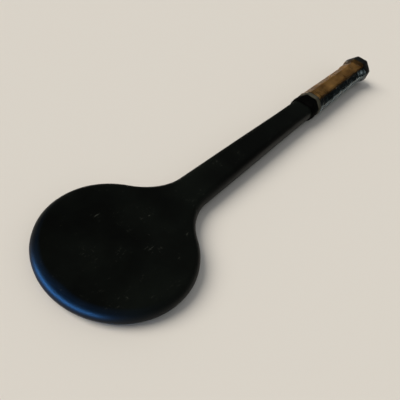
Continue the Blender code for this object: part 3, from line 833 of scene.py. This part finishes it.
def makeFilmSleeve():
    # a ring of two skins: over the grip's outside the film is clear of it by its slack, the bulge,
    # the lift over the tape and the folds, less the dips into the seams
    x = np.linspace(film["frontX"], film["rearX"], film["rows"])
    width, thickness, chamfer, corner = flareAt(x)
    centreY, centreZ, angle = octagonFrame(width, thickness, chamfer, corner,
                                           film["arcSteps"], film["sideSteps"])
    share = perimeterShare(centreY[0], centreZ[0])
    x, corner = x[:, None], corner[:, None]
    loose = smoothStep(1 - np.abs(x - handle["capFrontX"]) / (film["bulgeLength"] / 2))
    sideways = film["bulgeLeast"] + (1 - film["bulgeLeast"]) * np.clip(np.cos(angle), 0, 1) ** 2
    turn = (strip["buttX"] - x) / strip["pitch"] - share
    fromSeam = np.abs(turn - np.round(turn)) * strip["pitch"]
    onGrip = smoothStep((handle["capFrontX"] - x) / film["capFade"])
    lifted = smoothStep((tape["rearX"] + film["behindTape"] - x) / film["tapeStep"])
    fades = film["foldFades"]
    held = smoothStep((film["rearX"] - x) / fades["rear"])
    held = held * smoothStep((x - film["frontX"] + fades["frontLead"]) / fades["front"])
    folds = foldHeights(x, share)
    folded = folds * (film["foldLeast"] + (1 - film["foldLeast"]) * held)
    # the folds are pressed flat on the side that the racket lies on
    folded = folded * (1 - film["pressedFlat"] * np.clip(-np.sin(angle), 0, 1) ** 2)
    grow = film["clear"] + film["bulge"] * loose * sideways + film["overTape"] * lifted
    grow = grow - film["seamDip"] * onGrip * hump(fromSeam, film["seamWidth"])
    grow = grow + film["foldHeight"] * folded
    outer = octagonPoints(x, centreY, centreZ, angle, corner + grow + film["thickness"])
    inner = octagonPoints(x, centreY, centreZ, angle, corner + grow)[::-1]
    # painted light and shade: brown on the lit side only; painted highlights: white by the seams, on the
    # flare and on the folds
    litHaze = litHazeMark(x, angle, share, outer)
    creaseHighlight = creaseHighlightMark(x, share, outer, fromSeam, onGrip, folds, litHaze)
    marks = {"litHaze": np.concatenate([litHaze, litHaze[::-1]]), "creaseHighlight": np.concatenate([creaseHighlight, creaseHighlight[::-1]])}
    mesh = gridMesh("film_skin", np.concatenate([outer, inner]), True, sharpDegrees=180)
    return placePiece(mesh, "film", "film_sleeve", marks=marks)


makeFilmSleeve()


# Pale floor, dim room and soft lamps. Two strips stand in an arc before the head's tip, lower than
# its face, so that only its rim shows them, and a card overhead gives the face its faint gloss.
studio = {
    "floorColor": "#e2e0db",
    "floorHalf": 40.0,
    "roomColor": "#e6ecef",
    "roomLight": 0.04,
    "roomSeen": 0.06,
    "key": {"strength": 2.7, "softDegrees": 40, "hexCode": "#fff6ea", "turnDegrees": (0, -46, -50)},
    "fill": {"strength": 0.9, "softDegrees": 170},
    "stripBearings": (156, 193),
    "stripReach": 0.140,
    "stripHeight": 0.007,
    "strip": {"size": (0.096, 0.011), "watts": 0.52, "hexCode": "#4c9bf5"},
    "card": {"place": (0.90, 0.30, 1.23), "aim": (-0.1, 0, 0), "size": (0.5, 0.5),
             "watts": 1.5, "hexCode": "#e6f0ea"},
}


def makeFloor():
    half = studio["floorHalf"]
    corners = [(-half, -half, 0), (half, -half, 0), (half, half, 0), (-half, half, 0)]
    mesh = bpy.data.meshes.new("floor")
    mesh.from_pydata(corners, [], [(0, 1, 2, 3)])
    floor = bpy.data.objects.new("floor", mesh)
    bpy.context.scene.collection.objects.link(floor)
    paint, _, shader, _ = startMaterial("matt pale floor", roughness=1.0, specular=0.0)
    shader.inputs["Base Color"].default_value = linearColor(studio["floorColor"])
    mesh.materials.append(paint)


def makeRoom():
    # the room is dim, both as a light and where the eye, gloss or film meets it
    world = bpy.data.worlds.new("dim room")
    bpy.context.scene.world = world
    world.use_nodes = True
    tree = world.node_tree
    backdrop = tree.nodes["Background"]
    backdrop.inputs["Color"].default_value = linearColor(studio["roomColor"])
    seen = addNode(tree, "LightPath", "Is Camera Ray")
    for ray in ("Is Glossy Ray", "Is Transmission Ray"):
        other = addNode(tree, "LightPath", ray)
        seen = addNode(tree, "Math", 0, {0: seen, 1: other}, operation="MAXIMUM")
    strength = addNode(tree, "MapRange", "Result", {
        "Value": seen, "To Min": studio["roomLight"], "To Max": studio["roomSeen"]})
    tree.links.new(strength, backdrop.inputs["Strength"])


def addSun(name, strength, softDegrees, hexCode="#ffffff", turnDegrees=(0, 0, 0)):
    # it lights the surfaces but isn't mirrored in them
    light = bpy.data.lights.new(name, "SUN")
    light.energy = strength
    light.angle = math.radians(softDegrees)
    light.color = linearColor(hexCode)[:3]
    lamp = bpy.data.objects.new(name, light)
    bpy.context.scene.collection.objects.link(lamp)
    lamp.rotation_euler = [math.radians(v) for v in turnDegrees]
    lamp.visible_glossy = False
    lamp.visible_transmission = False


def addCard(name, place, aim, size, watts, hexCode):
    # a rectangle of light whose own -z points from its place to its aim; only gloss shows it
    light = bpy.data.lights.new(name, "AREA")
    light.shape = "RECTANGLE"
    light.size, light.size_y = size
    light.energy = watts
    light.color = linearColor(hexCode)[:3]
    lamp = bpy.data.objects.new(name, light)
    bpy.context.scene.collection.objects.link(lamp)
    toAim = np.array(aim, float) - np.array(place, float)
    forward = toAim / np.linalg.norm(toAim)
    across = np.cross(forward, (0, 0, 1))
    across /= np.linalg.norm(across)
    axes = np.eye(4)
    axes[:3] = np.column_stack([across, np.cross(across, forward), -forward, place])
    lamp.matrix_world = Matrix(axes.tolist())
    lamp.visible_camera = False
    lamp.visible_diffuse = False
    lamp.visible_transmission = False


makeFloor()
makeRoom()
addSun("key", **studio["key"])
addSun("fill", **studio["fill"])
for number, bearing in enumerate(studio["stripBearings"]):
    outwards = np.array([math.cos(math.radians(bearing)), math.sin(math.radians(bearing)), 0])
    middle = np.array([lay["headCentre"][0], 0, studio["stripHeight"]])
    stand = middle + studio["stripReach"] * outwards
    addCard(f"rim strip {number + 1}", stand, middle, **studio["strip"])
addCard("ceiling card", **studio["card"])

view = {
    "place": (-0.397195, -0.108659, 0.251710),
    "turnDegrees": (45.88785, -16.23738, -53.47459),
    "lensMm": 38.7,
    "sensorMm": 36,
    "clipStart": 0.01,
}
cameraData = bpy.data.cameras.new("camera")
cameraData.lens = view["lensMm"]
cameraData.sensor_width = view["sensorMm"]
cameraData.clip_start = view["clipStart"]
camera = bpy.data.objects.new("camera", cameraData)
camera.location = view["place"]
camera.rotation_euler = [math.radians(v) for v in view["turnDegrees"]]
bpy.context.scene.collection.objects.link(camera)
bpy.context.scene.camera = camera
bpy.context.scene.view_settings.view_transform = "Standard"
